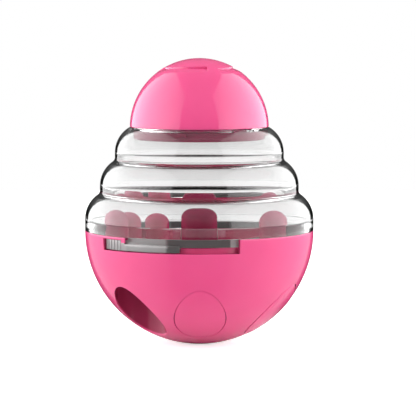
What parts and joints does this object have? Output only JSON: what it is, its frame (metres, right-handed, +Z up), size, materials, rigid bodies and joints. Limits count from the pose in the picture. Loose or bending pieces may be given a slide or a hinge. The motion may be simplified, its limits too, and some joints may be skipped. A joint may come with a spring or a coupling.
{
  "type": "treat dispensing toy",
  "caption": "Roly-poly pet toy: weighted round bowl with side outlets, clear stepped chamber that twists off its bayonet, and dome cap. Treats drop out as it rocks.",
  "frame": {"origin": "centre of the small flat that the bowl stands on", "axes": "+Z up along the main axis, -Y towards the front outlet's stopper, +X to the right seen from the front"},
  "size_m": [0.1, 0.1, 0.1249],
  "materials": {
    "pink_abs": "satin",
    "pink_cap": "gloss",
    "clear_plastic": "clear gloss",
    "weight_steel": "zinc plated",
    "screw_steel": "zinc plated",
    "pad_foam": "matt"
  },
  "bodies": {
    "base": {"bowl": "pink_abs", "treat_tray": "pink_abs", "centre_post": "pink_abs", "weight_pad": "pad_foam", "counterweight": "weight_steel", "weight_cover": "pink_abs", "cover_screws": "screw_steel", "tray_screws": "screw_steel"},
    "shell": {"clear_shell": "clear_plastic"},
    "cap": {"cap_dome": "pink_cap", "cap_plug": "pink_cap"},
    "front_stopper": {"stopper_front": "pink_abs"},
    "right_stopper": {"stopper_right": "pink_abs"}
  },
  "joints": [
    {"name": "shell_twist", "type": "hinge", "parent": "base", "child": "shell", "pos_m": [0, 0, 0.0498], "axis": [0, 0, 1], "range_deg": [0, 29]},
    {"name": "cap_twist", "type": "hinge", "parent": "shell", "child": "cap", "pos_m": [0, 0, 0.0951], "axis": [0, 0, 1], "range_deg": [0, 60]},
    {"name": "stopper_front_lift", "type": "slide", "parent": "base", "child": "front_stopper", "axis": [0, 0, 1], "range_m": [0, 0.02]},
    {"name": "stopper_right_lift", "type": "slide", "parent": "base", "child": "right_stopper", "axis": [0, 0, 1], "range_m": [0, 0.02]}
  ]
}
